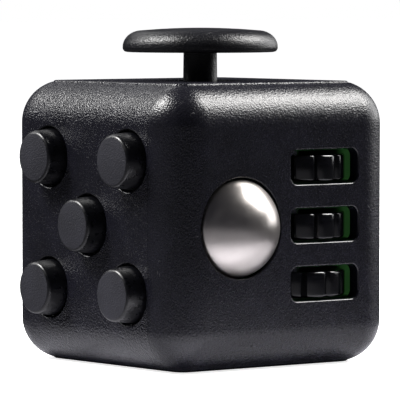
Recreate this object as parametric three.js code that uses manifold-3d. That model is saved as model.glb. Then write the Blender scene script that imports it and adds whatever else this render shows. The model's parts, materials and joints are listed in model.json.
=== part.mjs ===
// Fidget cube: a rounded cube that carries a different thing to play with on each face.
// Millimetres, +Z up. The origin is the centre of the face that the cube rests on.
//   -Y rolls (ball and three toothed wheels)    -X clicks (five buttons)
//   +Z glides (joystick)                        +X flips (rocker switch)
//   +Y spins (dial)                             -Z is a shallow dish for the thumb
import * as THREE from "three";
import { RoundedBoxGeometry } from "three/addons/geometries/RoundedBoxGeometry.js";
import { mergeVertices } from "three/addons/utils/BufferGeometryUtils.js";
import Module from "manifold-3d";

const wasm = await Module();
wasm.setup();

// ---------------------------------------------------------------- driving dimensions

const CUBE = 33;
const HALF = CUBE / 2;
const MID_Z = HALF;
const EDGE_RADIUS = 5;
const WALL = 1.5;
const INNER = HALF - WALL;
const SEAM = 0.2; // between two shells that meet
const GAP = 0.3; // between a piece and the one that it sits in or on
const RUNNING = 0.1; // radial clearance of a pin in its hole
const FRONT_SPLIT_Y = -(HALF - EDGE_RADIUS);

const COVER = { half: 12.9, corner: 1.7, edge: 1.1, bossHalf: 11.6, thickness: 2.1 };
const STEM_OPENING_RADIUS = 3.7;
const THUMB_DISH = { below: 3, semiAxes: [13, 9.6, 4.4] };

const BOSS_RADIUS = 1.7;
const SCREW = { shaft: 0.75, hole: 0.95, head: 1.5, headHeight: 1.1, tip: 0.7 };

const BUTTON = {
  pitch: 15.3,
  radius: 3.3,
  hole: 3.55,
  proud: 2,
  flange: 4.3,
  flangeThickness: 0.8,
  front: 1.6,
  bore: 2.4,
};
const BUTTON_SPRING = { radius: 1.8, wire: 0.2, turns: 4 };
const RETAINER = { x: -11.1, thickness: 1.2, half: 11.8, spigot: 1.2, spigotLength: 1.9 };
const RETAINER_NOTCH_RADIUS = 7.2;
const RETAINER_SCREW_OFFSET = 9.5;

const WHEEL = { x: 5.5, y: -10.5, radius: 6, pitch: 6.76, thickness: 3, teeth: 12 };
const WHEEL_GROOVE = { depth: 0.85, halfAngle: 0.075 };
const AXLE_RADIUS = 0.8;
const WINDOW = { width: 10, height: 4, corner: 0.7 };
const BALL = { x: -6.8, y: -13.9, radius: 6, travel: 1.2 };
const BALL_SEAT_RADIUS = 6.3;
const BALL_CUP = { radius: 2.8, back: -6.6, spigot: 1, spigotLength: 1.1 };
const BALL_SPRING = { radius: 1.5, wire: 0.2, turns: 3 };
const HOUSING = { outer: 7.7, pocket: 6.9, pocketHeight: 3.6, low: 7, high: 26, front: -14.7 };
const HOUSING_SCREW_OFFSET = 11.7;
const HOUSING_EAR = { front: -12, back: -10.8 };

const PIVOT_Z = 29;
const CAP = { radius: 9.15, top: 39.2, thickness: 2.85, socketDepth: 1.6 };
const STEM = { top: 1.95, foot: 2.05, hub: 2.2, footRadius: 1.9, low: 27.2 };
const GIMBAL = { inner: 3.3, outer: 4.6, halfHeight: 0.7, pinRadius: 0.6, pinReach: 5.6 };
const CROSS_PIN = { radius: 0.5, half: 4.3 };
const BASE = { outer: 6.3, inner: 5.1, floor: 26.4, floorTop: 27, tubeOuter: 3.3, tubeInner: 2.6, low: 22 };
const BASE_EAR = { offset: 5.7, radius: 2, low: 29.4 };
const CENTRING_SPRING = { radius: 1.7, wire: 0.2, turns: 4 };

const ROCKER = { halfWidth: 3.5, halfHeight: 6.8, pivotX: 14.4, endX: 17.59, middleX: 16.7, restTilt: 8 };
const ROCKER_OPENING = { halfWidth: 3.8, halfHeight: 7.5, corner: 1 };
const ROCKER_PIN_RADIUS = 0.6;
const BRACKET = { back: 10.9, front: 11.6, arm: 14.7, halfWidth: 4.4, armInner: 3.75, earHalf: 2 };
const BRACKET_SCREW_OFFSET = 9.6;
const CLICK_LEAF = { thickness: 0.25, halfWidth: 2.5, halfLength: 4.8 };

const DIAL = { skirt: 9.5, skirtTop: 17.9, knob: 7.2, top: 19.85, flutes: 24, fluteDepth: 0.3, shaft: 2.6 };
const DIAL_NECK = { radius: 2, from: 13.3, to: 14.8, bore: 1.1, boreEnd: 17.6 };
const DIAL_SCREW_HEAD = 2.8;
const DIAL_DIMPLE = { radius: 5, depth: 0.9, offset: 3.6 };
const DIAL_HOLE_RADIUS = 2.9;
const DETENT = { radius: 5.2, notch: 0.5, notches: 12, from: 13.3, to: 14.6 };
const DETENT_LEAF = { halfLength: 6.2, thickness: 0.25, clear: 0.9, bump: 0.75 };
const LEAF_POST = { x: 5.4, radius: 0.8 };

// ---------------------------------------------------------------- colours

const paint = (color, roughness, metalness) => new THREE.MeshStandardMaterial({ color, roughness, metalness });
const SHELL_PLASTIC = paint(0x202126, 0.5, 0);
const BUTTON_PLASTIC = paint(0x26272b, 0.55, 0);
const WHEEL_PLASTIC = paint(0x17181b, 0.3, 0);
const HOUSING_PLASTIC = paint(0x243d24, 0.45, 0);
const GREY_PLASTIC = paint(0x4a4c50, 0.5, 0);
const RUBBER = paint(0x1b1c1f, 0.6, 0);
const POLISHED_STEEL = paint(0xc9cbce, 0.15, 1);
const SPRING_STEEL = paint(0x9a9da1, 0.35, 1);

// ---------------------------------------------------------------- making and cutting solids

// Turns a geometry so that X goes to Y, Y to Z and Z to X, as many times as asked.
function cycled(geometry, times) {
  const once = new THREE.Matrix4().set(0, 0, 1, 0, 1, 0, 0, 0, 0, 1, 0, 0, 0, 0, 0, 1);
  for (let i = 0; i < times; i += 1) {
    geometry.applyMatrix4(once);
  }
  return geometry;
}

// A geometry as a solid, with its shared vertices merged and its collapsed triangles dropped.
function solid(geometry) {
  geometry.deleteAttribute("normal");
  geometry.deleteAttribute("uv");
  const merged = mergeVertices(geometry, 1e-4);
  const corners = merged.index.array;
  const triangles = [];
  for (let i = 0; i < corners.length; i += 3) {
    const [a, b, c] = [corners[i], corners[i + 1], corners[i + 2]];
    if (a !== b && b !== c && c !== a) {
      triangles.push(a, b, c);
    }
  }
  const build = (triVerts) =>
    new wasm.Manifold(
      new wasm.Mesh({
        numProp: 3,
        vertProperties: new Float32Array(merged.attributes.position.array),
        triVerts: new Uint32Array(triVerts),
      }),
    );
  const made = build(triangles);
  return made.volume() < 0 ? build(triangles.reverse()) : made;
}

function geometryOf(shape) {
  const mesh = shape.getMesh();
  const geometry = new THREE.BufferGeometry();
  geometry.setAttribute("position", new THREE.BufferAttribute(mesh.vertProperties, 3));
  geometry.setIndex(new THREE.BufferAttribute(mesh.triVerts, 1));
  return geometry;
}

// A solid turned about an axis: the profile is [radius, place along the axis] pairs.
const TURNS_OF_A_LATHE = { x: 2, y: 0, z: 1 };
function turned(axis, profile, segments = 20) {
  const points = profile.map(([radius, along]) => new THREE.Vector2(radius, along));
  return solid(cycled(new THREE.LatheGeometry(points, segments), TURNS_OF_A_LATHE[axis]));
}

const rod = (axis, radius, from, to, segments = 20) =>
  turned(axis, [[0, from], [radius, from], [radius, to], [0, to]], segments);

// A flat outline pulled along an axis. Outlines lie in (y, z) for x, (z, x) for y and (x, y) for z.
const TURNS_OF_A_PRISM = { x: 1, y: 2, z: 0 };
function prism(axis, shape, from, to, curveSegments = 6) {
  const options = { depth: to - from, bevelEnabled: false, curveSegments };
  const geometry = new THREE.ExtrudeGeometry(shape, options);
  geometry.translate(0, 0, from);
  return solid(cycled(geometry, TURNS_OF_A_PRISM[axis]));
}

function box(low, high) {
  const size = high.map((value, i) => value - low[i]);
  const geometry = new THREE.BoxGeometry(...size);
  geometry.translate(...low.map((value, i) => value + size[i] / 2));
  return solid(geometry);
}

const ball = (radius, segments = 20) => solid(new THREE.SphereGeometry(radius, segments, segments / 2));

const outline = (points) => new THREE.Shape(points.map(([a, b]) => new THREE.Vector2(a, b)));

function roundedRectangle(halfWidth, halfHeight, radius, centre = [0, 0]) {
  const [cx, cy] = centre;
  const shape = new THREE.Shape();
  const quarters = [[1, 1], [-1, 1], [-1, -1], [1, -1]];
  quarters.forEach(([sx, sy], i) => {
    const x = cx + sx * (halfWidth - radius);
    const y = cy + sy * (halfHeight - radius);
    shape.absarc(x, y, radius, (i * Math.PI) / 2, ((i + 1) * Math.PI) / 2);
  });
  return shape;
}

// A coil spring along an axis, from one end to the other.
class Helix extends THREE.Curve {
  constructor(radius, length, turns) {
    super();
    Object.assign(this, { radius, length, turns });
  }
  getPoint(t, target = new THREE.Vector3()) {
    const angle = 2 * Math.PI * this.turns * t;
    return target.set(this.radius * Math.cos(angle), this.radius * Math.sin(angle), this.length * t);
  }
}

function coil(axis, spring, from, to) {
  const section = spring.wire * Math.SQRT1_2;
  const wire = outline([[-section, -section], [section, -section], [section, section], [-section, section]]);
  const extrudePath = new Helix(spring.radius, to - from - 2 * spring.wire, spring.turns);
  const geometry = new THREE.ExtrudeGeometry(wire, { steps: spring.turns * 8, extrudePath });
  geometry.translate(0, 0, from + spring.wire);
  return solid(cycled(geometry, TURNS_OF_A_PRISM[axis]));
}

// A self-tapping screw whose head's underside is at 0, with its shaft running to +length.
function screw(axis, length, head = SCREW.head) {
  const profile = [
    [0, -SCREW.headHeight],
    [head * 0.7, -SCREW.headHeight],
    [head, -SCREW.headHeight * 0.5],
    [head, 0],
    [SCREW.shaft, 0],
    [SCREW.shaft, length - SCREW.tip],
    [0, length],
  ];
  return turned(axis, profile, 12);
}

// A mesh for the scene: a solid in a colour, at a place.
function piece(name, shape, material, position = [0, 0, 0]) {
  const mesh = new THREE.Mesh(geometryOf(shape), material);
  mesh.name = name;
  mesh.position.set(...position);
  return mesh;
}

function group(...members) {
  const made = new THREE.Group();
  made.add(...members);
  return made;
}

// ---------------------------------------------------------------- places that repeat

const BUTTON_PLACES = {
  centre: [0, MID_Z],
  top_front: [-BUTTON.pitch / 2, MID_Z + BUTTON.pitch / 2],
  top_back: [BUTTON.pitch / 2, MID_Z + BUTTON.pitch / 2],
  bottom_front: [-BUTTON.pitch / 2, MID_Z - BUTTON.pitch / 2],
  bottom_back: [BUTTON.pitch / 2, MID_Z - BUTTON.pitch / 2],
};
const WHEEL_PLACES = {
  top: MID_Z + WHEEL.pitch,
  middle: MID_Z,
  bottom: MID_Z - WHEEL.pitch,
};
const UP_AND_DOWN = { top: 1, bottom: -1 };

// ---------------------------------------------------------------- casing

// The flat opening that a cover drops into, with the ledge under its edge.
function coverPocket(outside, inwards) {
  const rim = roundedRectangle(COVER.half + SEAM, COVER.half + SEAM, COVER.corner + SEAM);
  const throughHole = roundedRectangle(COVER.bossHalf + SEAM, COVER.bossHalf + SEAM, COVER.corner);
  const ledge = outside + inwards * (COVER.edge + SEAM);
  const beyond = outside - inwards;
  const inside = outside + inwards * 2 * COVER.thickness;
  return prism("z", rim, Math.min(beyond, ledge), Math.max(beyond, ledge), 3).add(
    prism("z", throughHole, Math.min(beyond, inside), Math.max(beyond, inside), 3),
  );
}

function casing() {
  const outer = solid(new RoundedBoxGeometry(CUBE, CUBE, CUBE, 3, EDGE_RADIUS));
  const hollow = solid(new RoundedBoxGeometry(2 * INNER, 2 * INNER, 2 * INNER, 2, EDGE_RADIUS - WALL));
  return outer
    .subtract(hollow)
    .translate([0, 0, MID_Z])
    .subtract(coverPocket(CUBE, -1))
    .subtract(coverPocket(0, 1));
}

function mainShell(whole) {
  const behindTheSplit = box([-CUBE, FRONT_SPLIT_Y + SEAM / 2, -1], [CUBE, CUBE, CUBE + 1]);
  let shell = whole.intersect(behindTheSplit);
  for (const side of Object.values(UP_AND_DOWN)) {
    const retainerBoss = rod("x", BOSS_RADIUS, -INNER - 0.5, RETAINER.x - GAP);
    const bracketBoss = rod("x", BOSS_RADIUS, BRACKET.front + GAP, INNER + 0.5);
    shell = shell.add(retainerBoss.translate([0, 0, MID_Z + side * RETAINER_SCREW_OFFSET]));
    shell = shell.add(bracketBoss.translate([0, 0, MID_Z + side * BRACKET_SCREW_OFFSET]));
    const leafPost = rod("y", LEAF_POST.radius, DETENT.from, INNER + 0.5, 12);
    const postZ = MID_Z + DETENT.radius + DETENT_LEAF.clear + DETENT_LEAF.thickness + GAP + LEAF_POST.radius;
    shell = shell.add(leafPost.translate([side * LEAF_POST.x, 0, postZ]));
    const retainerHole = rod("x", SCREW.hole, -INNER + 0.4, RETAINER.x, 12);
    const bracketHole = rod("x", SCREW.hole, BRACKET.front, INNER - 0.4, 12);
    shell = shell.subtract(retainerHole.translate([0, 0, MID_Z + side * RETAINER_SCREW_OFFSET]));
    shell = shell.subtract(bracketHole.translate([0, 0, MID_Z + side * BRACKET_SCREW_OFFSET]));
  }
  for (const [y, z] of Object.values(BUTTON_PLACES)) {
    const hole = rod("x", BUTTON.hole, -HALF - 1, -INNER + 1);
    shell = shell.subtract(hole.translate([0, y, z]));
  }
  const { halfWidth, halfHeight, corner } = ROCKER_OPENING;
  const rockerOpening = roundedRectangle(halfWidth, halfHeight, corner, [0, MID_Z]);
  const dialHole = rod("y", DIAL_HOLE_RADIUS, INNER - 1, HALF + 1);
  return shell
    .subtract(prism("x", rockerOpening, INNER - 0.5, HALF + 1, 3))
    .subtract(dialHole.translate([0, 0, MID_Z]));
}

function frontShell(whole) {
  const beforeTheSplit = box([-CUBE, -CUBE, -1], [CUBE, FRONT_SPLIT_Y - SEAM / 2, CUBE + 1]);
  let shell = whole.intersect(beforeTheSplit);
  for (const side of Object.values(UP_AND_DOWN)) {
    const boss = rod("y", BOSS_RADIUS, -INNER - 0.7, HOUSING_EAR.front - GAP);
    const hole = rod("y", SCREW.hole, -INNER + 0.4, HOUSING_EAR.front, 12);
    const place = [WHEEL.x, 0, MID_Z + side * HOUSING_SCREW_OFFSET];
    shell = shell.add(boss.translate(place)).subtract(hole.translate(place));
  }
  for (const z of Object.values(WHEEL_PLACES)) {
    const { width, height, corner } = WINDOW;
    const window = roundedRectangle(height / 2, width / 2, corner, [z, WHEEL.x]);
    shell = shell.subtract(prism("y", window, -HALF - 1, -INNER + 0.5, 3));
  }
  return shell.subtract(ball(BALL_SEAT_RADIUS, 28).translate([BALL.x, BALL.y, MID_Z]));
}

// A cover as if it were the bottom one: its outer face at 0, its boss reaching up into the cube.
function coverBlank() {
  const edge = roundedRectangle(COVER.half, COVER.half, COVER.corner);
  const boss = roundedRectangle(COVER.bossHalf, COVER.bossHalf, COVER.corner);
  return prism("z", edge, 0, COVER.edge, 3).add(prism("z", boss, 0, COVER.thickness, 3));
}

function bottomCover() {
  const dish = ball(1, 24).scale(THUMB_DISH.semiAxes).translate([0, 0, -THUMB_DISH.below]);
  return coverBlank().subtract(dish);
}

function topCover() {
  let cover = coverBlank().rotate([180, 0, 0]).translate([0, 0, CUBE]);
  cover = cover.subtract(rod("z", STEM_OPENING_RADIUS, CUBE - 2 * COVER.thickness, CUBE + 1, 32));
  for (const side of Object.values(UP_AND_DOWN)) {
    const hole = rod("z", SCREW.hole, CUBE - 2 * COVER.thickness, CUBE - 0.7, 12);
    cover = cover.subtract(hole.translate([side * BASE_EAR.offset, side * BASE_EAR.offset, 0]));
  }
  return cover;
}

function casingPieces() {
  const whole = casing();
  return group(
    piece("main_shell", mainShell(whole), SHELL_PLASTIC),
    piece("front_shell", frontShell(whole), SHELL_PLASTIC),
    piece("top_cover", topCover(), SHELL_PLASTIC),
    piece("bottom_cover", bottomCover(), SHELL_PLASTIC),
  );
}

// ---------------------------------------------------------------- click: five sprung buttons

// A hollow button on the X axis: its face is proud of the wall, and its flange sits behind it.
function button() {
  const face = -HALF - BUTTON.proud;
  const flangeFront = -INNER + GAP;
  const back = flangeFront + BUTTON.flangeThickness;
  return turned("x", [
    [0, face],
    [BUTTON.radius - 0.3, face],
    [BUTTON.radius, face + 0.3],
    [BUTTON.radius, flangeFront],
    [BUTTON.flange, flangeFront],
    [BUTTON.flange, back],
    [BUTTON.bore, back],
    [BUTTON.bore, face + BUTTON.front],
    [0, face + BUTTON.front],
  ]);
}

function buttonRetainer() {
  const { x, thickness, half, spigot, spigotLength } = RETAINER;
  let plate = prism("x", roundedRectangle(half, half, 2, [0, MID_Z]), x, x + thickness, 3);
  for (const [y, z] of Object.values(BUTTON_PLACES)) {
    const springSpigot = rod("x", spigot, x - spigotLength, x + 0.5, 12);
    plate = plate.add(springSpigot.translate([0, y, z]));
  }
  for (const side of Object.values(UP_AND_DOWN)) {
    const hole = rod("x", SCREW.hole, x - 1, x + thickness + 1, 12);
    plate = plate.subtract(hole.translate([0, 0, MID_Z + side * RETAINER_SCREW_OFFSET]));
  }
  const ballNotch = rod("x", RETAINER_NOTCH_RADIUS, x - 1, x + thickness + 1);
  return plate.subtract(ballNotch.translate([0, BALL.y, MID_Z]));
}

function clickModule() {
  const springFrom = -HALF - BUTTON.proud + BUTTON.front + GAP;
  const members = [piece("button_retainer", buttonRetainer(), GREY_PLASTIC)];
  for (const [place, [y, z]] of Object.entries(BUTTON_PLACES)) {
    const spring = coil("x", BUTTON_SPRING, springFrom, RETAINER.x - GAP);
    members.push(piece(`button_${place}`, button(), BUTTON_PLASTIC, [0, y, z]));
    members.push(piece(`button_spring_${place}`, spring, SPRING_STEEL, [0, y, z]));
  }
  for (const [end, side] of Object.entries(UP_AND_DOWN)) {
    const headUnderside = RETAINER.x + RETAINER.thickness + SEAM / 2;
    const shape = screw("x", 4).rotate([0, 0, 180]);
    const place = [headUnderside, 0, MID_Z + side * RETAINER_SCREW_OFFSET];
    members.push(piece(`retainer_screw_${end}`, shape, POLISHED_STEEL, place));
  }
  return group(...members);
}

// ---------------------------------------------------------------- roll: ball and three wheels

// A wheel's outline: wide teeth, slightly domed, with a narrow V groove between each two.
function wheelOutline(firstGroove) {
  const points = [];
  const step = (2 * Math.PI) / WHEEL.teeth;
  for (let tooth = 0; tooth < WHEEL.teeth; tooth += 1) {
    const groove = firstGroove + tooth * step;
    const at = (radius, angle) => points.push([radius * Math.cos(angle), radius * Math.sin(angle)]);
    at(WHEEL.radius - WHEEL_GROOVE.depth, groove);
    at(WHEEL.radius - 0.12, groove + WHEEL_GROOVE.halfAngle);
    at(WHEEL.radius, groove + step / 2);
    at(WHEEL.radius - 0.12, groove + step - WHEEL_GROOVE.halfAngle);
  }
  return outline(points);
}

function wheel(firstGroove) {
  const half = WHEEL.thickness / 2;
  const bevel = 0.3;
  const options = {
    depth: WHEEL.thickness - 2 * bevel,
    bevelThickness: bevel,
    bevelSize: bevel,
    bevelOffset: -bevel,
    bevelSegments: 1,
  };
  const blank = solid(new THREE.ExtrudeGeometry(wheelOutline(firstGroove), options));
  const bore = rod("z", AXLE_RADIUS + RUNNING, -half - 1, half + 1);
  return blank.translate([0, 0, -half + bevel]).subtract(bore);
}

function rollHousing() {
  const { outer, pocket, pocketHeight, low, high, front } = HOUSING;
  const centred = [WHEEL.x, WHEEL.y, 0];
  const behindTheFront = box([-CUBE, front, 0], [CUBE, CUBE, CUBE]);
  let housing = rod("z", outer, low, high, 28).translate(centred).intersect(behindTheFront);
  housing = housing.add(box([WHEEL.x - outer, front, low], [WHEEL.x + outer - 0.5, WHEEL.y, high]));
  const springPlate = box([BALL.x - 3, -4, MID_Z - 3], [WHEEL.x, -2.8, MID_Z + 3]);
  housing = housing.add(springPlate);
  for (const side of Object.values(UP_AND_DOWN)) {
    const screwZ = MID_Z + side * HOUSING_SCREW_OFFSET;
    const earZ = [screwZ - side * 3, screwZ + side * BOSS_RADIUS].sort((a, b) => a - b);
    const earLow = [WHEEL.x - BOSS_RADIUS, HOUSING_EAR.front, earZ[0]];
    const earHigh = [WHEEL.x + BOSS_RADIUS, HOUSING_EAR.back, earZ[1]];
    const hole = rod("y", SCREW.hole, HOUSING_EAR.front - 1, HOUSING_EAR.back + 0.5, 12);
    housing = housing.add(box(earLow, earHigh)).subtract(hole.translate([WHEEL.x, 0, screwZ]));
  }
  for (const z of Object.values(WHEEL_PLACES)) {
    const [bottom, top] = [z - pocketHeight / 2, z + pocketHeight / 2];
    const mouth = box([WHEEL.x - pocket, front - 1, bottom], [WHEEL.x + pocket, WHEEL.y, top]);
    housing = housing.subtract(rod("z", pocket, bottom, top, 24).translate(centred)).subtract(mouth);
  }
  const axleBore = rod("z", AXLE_RADIUS + RUNNING, low - 1, high + 1, 16);
  const sweep = BALL_SEAT_RADIUS + SEAM;
  const ballRoom = ball(sweep).translate([BALL.x, BALL.y, MID_Z]);
  const pressedRoom = ball(sweep).translate([BALL.x, BALL.y + BALL.travel, MID_Z]);
  return housing.subtract(axleBore.translate(centred)).subtract(ballRoom).subtract(pressedRoom);
}

// The cup behind the ball, turned about Y: hollow in front, with a spigot for the spring behind.
function ballCup() {
  const { radius, back, spigot, spigotLength } = BALL_CUP;
  const blank = turned("y", [
    [0, BALL.y + BALL.radius - 2],
    [radius, BALL.y + BALL.radius - 2],
    [radius, back],
    [spigot, back],
    [spigot, back + spigotLength],
    [0, back + spigotLength],
  ]);
  return blank.subtract(ball(BALL_SEAT_RADIUS).translate([0, BALL.y, 0]));
}

function rollModule() {
  const halfPitch = Math.PI / WHEEL.teeth;
  const grooveAtTheFront = -Math.PI / 2;
  const members = [
    piece("roll_housing", rollHousing(), HOUSING_PLASTIC),
    piece("wheel_axle", rod("z", AXLE_RADIUS, HOUSING.low + 0.3, HOUSING.high - 0.3, 16), POLISHED_STEEL, [
      WHEEL.x,
      WHEEL.y,
      0,
    ]),
    piece("ball", ball(BALL.radius, 24), POLISHED_STEEL, [BALL.x, BALL.y, MID_Z]),
    piece("ball_cup", ballCup(), GREY_PLASTIC, [BALL.x, 0, MID_Z]),
    piece("ball_spring", coil("y", BALL_SPRING, BALL_CUP.back + SEAM, -4 - SEAM), SPRING_STEEL, [
      BALL.x,
      0,
      MID_Z,
    ]),
  ];
  for (const [place, z] of Object.entries(WHEEL_PLACES)) {
    const firstGroove = place === "bottom" ? grooveAtTheFront : grooveAtTheFront + halfPitch;
    members.push(piece(`wheel_${place}`, wheel(firstGroove), WHEEL_PLASTIC, [WHEEL.x, WHEEL.y, z]));
  }
  for (const [end, side] of Object.entries(UP_AND_DOWN)) {
    const shape = screw("y", 3.3).rotate([180, 0, 0]);
    const place = [WHEEL.x, HOUSING_EAR.back + SEAM / 2, MID_Z + side * HOUSING_SCREW_OFFSET];
    members.push(piece(`housing_screw_${end}`, shape, POLISHED_STEEL, place));
  }
  return group(...members);
}

// ---------------------------------------------------------------- glide: the joystick

function joystickCap() {
  const { radius, top, thickness, socketDepth } = CAP;
  const bottom = top - thickness;
  return turned("z", [
    [0, bottom + socketDepth],
    [STEM.top + RUNNING, bottom + socketDepth],
    [STEM.top + RUNNING, bottom],
    [radius - 0.35, bottom],
    [radius, bottom + 0.3],
    [radius, top - 1.2],
    [radius - 0.35, top - 0.4],
    [radius - 1.3, top],
    [0, top],
  ], 32);
}

function joystickStem() {
  const top = CAP.top - CAP.thickness + CAP.socketDepth - SEAM;
  const blank = turned("z", [
    [0, STEM.low],
    [STEM.footRadius, STEM.low],
    [STEM.footRadius, STEM.low + 0.4],
    [STEM.hub, PIVOT_Z - 0.9],
    [STEM.hub, PIVOT_Z + 0.9],
    [STEM.foot, PIVOT_Z + 1.4],
    [STEM.top, top],
    [0, top],
  ]);
  const pinHole = rod("y", CROSS_PIN.radius + RUNNING, -4, 4, 12);
  return blank.subtract(pinHole.translate([0, 0, PIVOT_Z]));
}

// A ring with two trunnions on X, and two holes on Y for the stem's cross pin.
function gimbalRing() {
  const { inner, outer, halfHeight, pinRadius, pinReach } = GIMBAL;
  const trunnions = rod("x", pinRadius, -pinReach, pinReach, 12);
  const middle = rod("z", inner, -2, 2);
  const crossHole = rod("y", CROSS_PIN.radius + RUNNING, -6, 6, 12);
  return rod("z", outer, -halfHeight, halfHeight).add(trunnions).subtract(middle).subtract(crossHole);
}

// The cup under the top cover: bearings for the ring above, a tube for the centring spring below.
function joystickBase() {
  const top = CUBE - COVER.thickness - GAP;
  let base = turned("z", [
    [0, BASE.low],
    [BASE.tubeOuter, BASE.low],
    [BASE.tubeOuter, BASE.floor],
    [BASE.outer, BASE.floor],
    [BASE.outer, top],
    [BASE.inner, top],
    [BASE.inner, BASE.floorTop],
    [BASE.tubeInner, BASE.floorTop],
    [BASE.tubeInner, BASE.low + 0.7],
    [0, BASE.low + 0.7],
  ], 24);
  for (const side of Object.values(UP_AND_DOWN)) {
    const place = [side * BASE_EAR.offset, side * BASE_EAR.offset, 0];
    const ear = rod("z", BASE_EAR.radius, BASE_EAR.low, top, 16).translate(place);
    const hole = rod("z", SCREW.hole, BASE_EAR.low - 1, top + 1, 12).translate(place);
    base = base.add(ear.subtract(rod("z", BASE.inner + 0.3, 0, CUBE))).subtract(hole);
  }
  const bearing = rod("x", GIMBAL.pinRadius + RUNNING, -GIMBAL.pinReach - GAP, GIMBAL.pinReach + GAP, 12);
  return base.subtract(bearing.translate([0, 0, PIVOT_Z]));
}

function glideModule() {
  const spring = coil("z", CENTRING_SPRING, BASE.low + 0.7 + SEAM, STEM.low - SEAM);
  const crossPin = rod("y", CROSS_PIN.radius, -CROSS_PIN.half, CROSS_PIN.half, 12);
  const members = [
    piece("joystick_cap", joystickCap(), RUBBER),
    piece("joystick_stem", joystickStem(), BUTTON_PLASTIC),
    piece("joystick_cross_pin", crossPin, POLISHED_STEEL, [0, 0, PIVOT_Z]),
    piece("gimbal_ring", gimbalRing(), GREY_PLASTIC, [0, 0, PIVOT_Z]),
    piece("joystick_base", joystickBase(), GREY_PLASTIC),
    piece("centring_spring", spring, SPRING_STEEL),
  ];
  const names = { 1: "base_screw_right", [-1]: "base_screw_left" };
  for (const side of Object.values(UP_AND_DOWN)) {
    const place = [side * BASE_EAR.offset, side * BASE_EAR.offset, BASE_EAR.low - SEAM / 2];
    members.push(piece(names[side], screw("z", 2.6), POLISHED_STEEL, place));
  }
  return group(...members);
}

// ---------------------------------------------------------------- flip: the rocker switch

// The rocker as it stands half way between its two stops; outline in (z, x) from the pivot's height.
function rocker() {
  const { halfWidth, halfHeight, pivotX, endX, middleX } = ROCKER;
  const profile = outline([
    [-halfHeight, endX],
    [-halfHeight + 0.2, 15],
    [-2.2, 15],
    [-1.5, 13.2],
    [-0.9, 12.7],
    [0.9, 12.7],
    [1.5, 13.2],
    [2.2, 15],
    [halfHeight - 0.2, 15],
    [halfHeight, endX],
    [halfHeight - 0.4, endX + 0.02],
    [halfHeight * 0.5, (endX + middleX) / 2 - 0.2],
    [0, middleX],
    [-halfHeight * 0.5, (endX + middleX) / 2 - 0.2],
    [-halfHeight + 0.4, endX + 0.02],
  ]);
  const pinHole = rod("y", ROCKER_PIN_RADIUS + RUNNING, -5, 5, 16).translate([pivotX, 0, 0]);
  return prism("y", profile, -halfWidth, halfWidth)
    .subtract(pinHole)
    .translate([-pivotX, 0, 0])
    .rotate([0, ROCKER.restTilt, 0]);
}

function rockerBracket() {
  const { back, front, arm, halfWidth, armInner, earHalf } = BRACKET;
  const reach = BRACKET_SCREW_OFFSET + BOSS_RADIUS;
  let bracket = box([back, -halfWidth, -6], [front, halfWidth, 6]);
  bracket = bracket.add(box([back, -earHalf, -reach], [front, earHalf, reach]));
  for (const side of Object.values(UP_AND_DOWN)) {
    const [inside, outside] = [side * armInner, side * halfWidth].sort((a, b) => a - b);
    const hole = rod("x", SCREW.hole, back - 1, front + 1, 12);
    bracket = bracket.add(box([back, inside, -2.4], [arm, outside, 2.4]));
    bracket = bracket.subtract(hole.translate([0, 0, side * BRACKET_SCREW_OFFSET]));
  }
  const pinHole = rod("y", ROCKER_PIN_RADIUS + RUNNING, -5, 5, 16);
  return bracket.subtract(pinHole.translate([ROCKER.pivotX, 0, 0]));
}

// A strip of spring steel with a low hump that the rocker's foot snaps over.
function clickLeaf() {
  const { thickness, halfWidth, halfLength } = CLICK_LEAF;
  const [low, rise] = [BRACKET.front + 0.1, 0.2];
  return prism("y", outline([
    [-halfLength, low],
    [-1.2, low],
    [0, low + rise],
    [1.2, low],
    [halfLength, low],
    [halfLength, low + thickness],
    [1.2, low + thickness],
    [0, low + rise + thickness],
    [-1.2, low + thickness],
    [-halfLength, low + thickness],
  ]), -halfWidth, halfWidth);
}

function flipModule() {
  const { pivotX } = ROCKER;
  const pinHalf = BRACKET.halfWidth - RUNNING;
  const members = [
    piece("rocker", rocker(), BUTTON_PLASTIC, [pivotX, 0, 0]),
    piece("rocker_pin", rod("y", ROCKER_PIN_RADIUS, -pinHalf, pinHalf, 16), POLISHED_STEEL, [pivotX, 0, 0]),
    piece("rocker_bracket", rockerBracket(), GREY_PLASTIC),
    piece("rocker_click_spring", clickLeaf(), SPRING_STEEL),
  ];
  for (const [end, side] of Object.entries(UP_AND_DOWN)) {
    const place = [BRACKET.back - SEAM / 2, 0, side * BRACKET_SCREW_OFFSET];
    members.push(piece(`bracket_screw_${end}`, screw("x", 3.4), POLISHED_STEEL, place));
  }
  const made = group(...members);
  made.position.z = MID_Z;
  return made;
}

// ---------------------------------------------------------------- spin: the dial

// The round outline of a grip with shallow flutes, as three points to a flute.
function flutedCircle(radius, flutes, depth) {
  const count = 3 * flutes;
  const points = [];
  for (let i = 0; i < count; i += 1) {
    const angle = (2 * Math.PI * i) / count;
    const reach = i % 3 === 0 ? radius - depth : radius;
    points.push([reach * Math.cos(angle), reach * Math.sin(angle)]);
  }
  return outline(points);
}

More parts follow.
